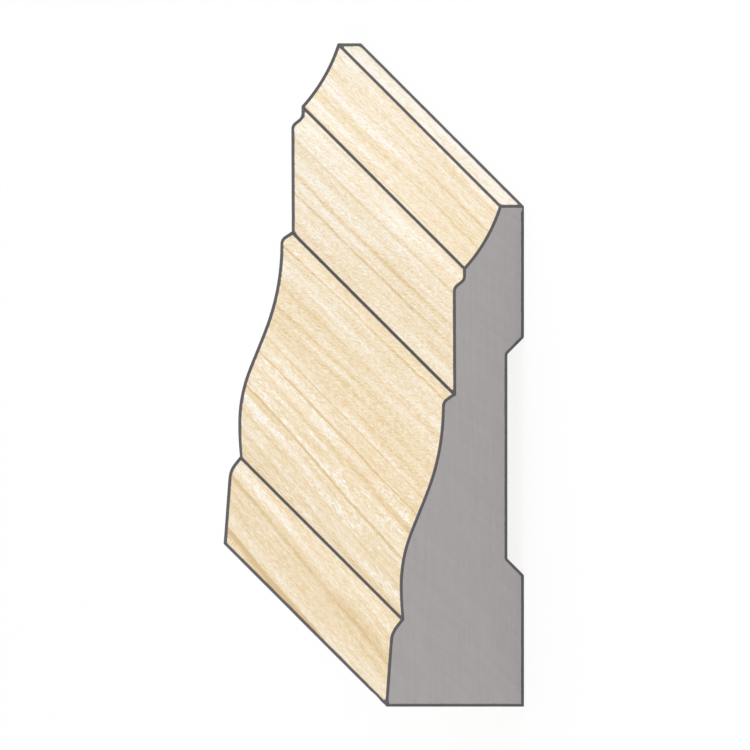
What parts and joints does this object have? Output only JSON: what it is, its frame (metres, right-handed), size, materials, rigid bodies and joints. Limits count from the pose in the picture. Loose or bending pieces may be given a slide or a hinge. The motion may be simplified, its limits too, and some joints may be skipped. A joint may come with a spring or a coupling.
{
  "type": "casing moulding",
  "caption": "Short sample of solid wood casing, moulded with an ogee, a flat fillet and a cove, and relieved along its back, for trimming door and window openings.",
  "frame": {"origin": "centre of the flat back plane, halfway along the length", "axes": "+Z from the back to the moulded face, +X across the width from the thick outer edge to the thin inner edge, +Y along the grain"},
  "size_m": [0.0636, 0.0584, 0.0175],
  "materials": {
    "maple": "bare planed maple with sealed grey sawn ends"
  },
  "bodies": {
    "root": {"casing_moulding": "maple"}
  },
  "joints": []
}
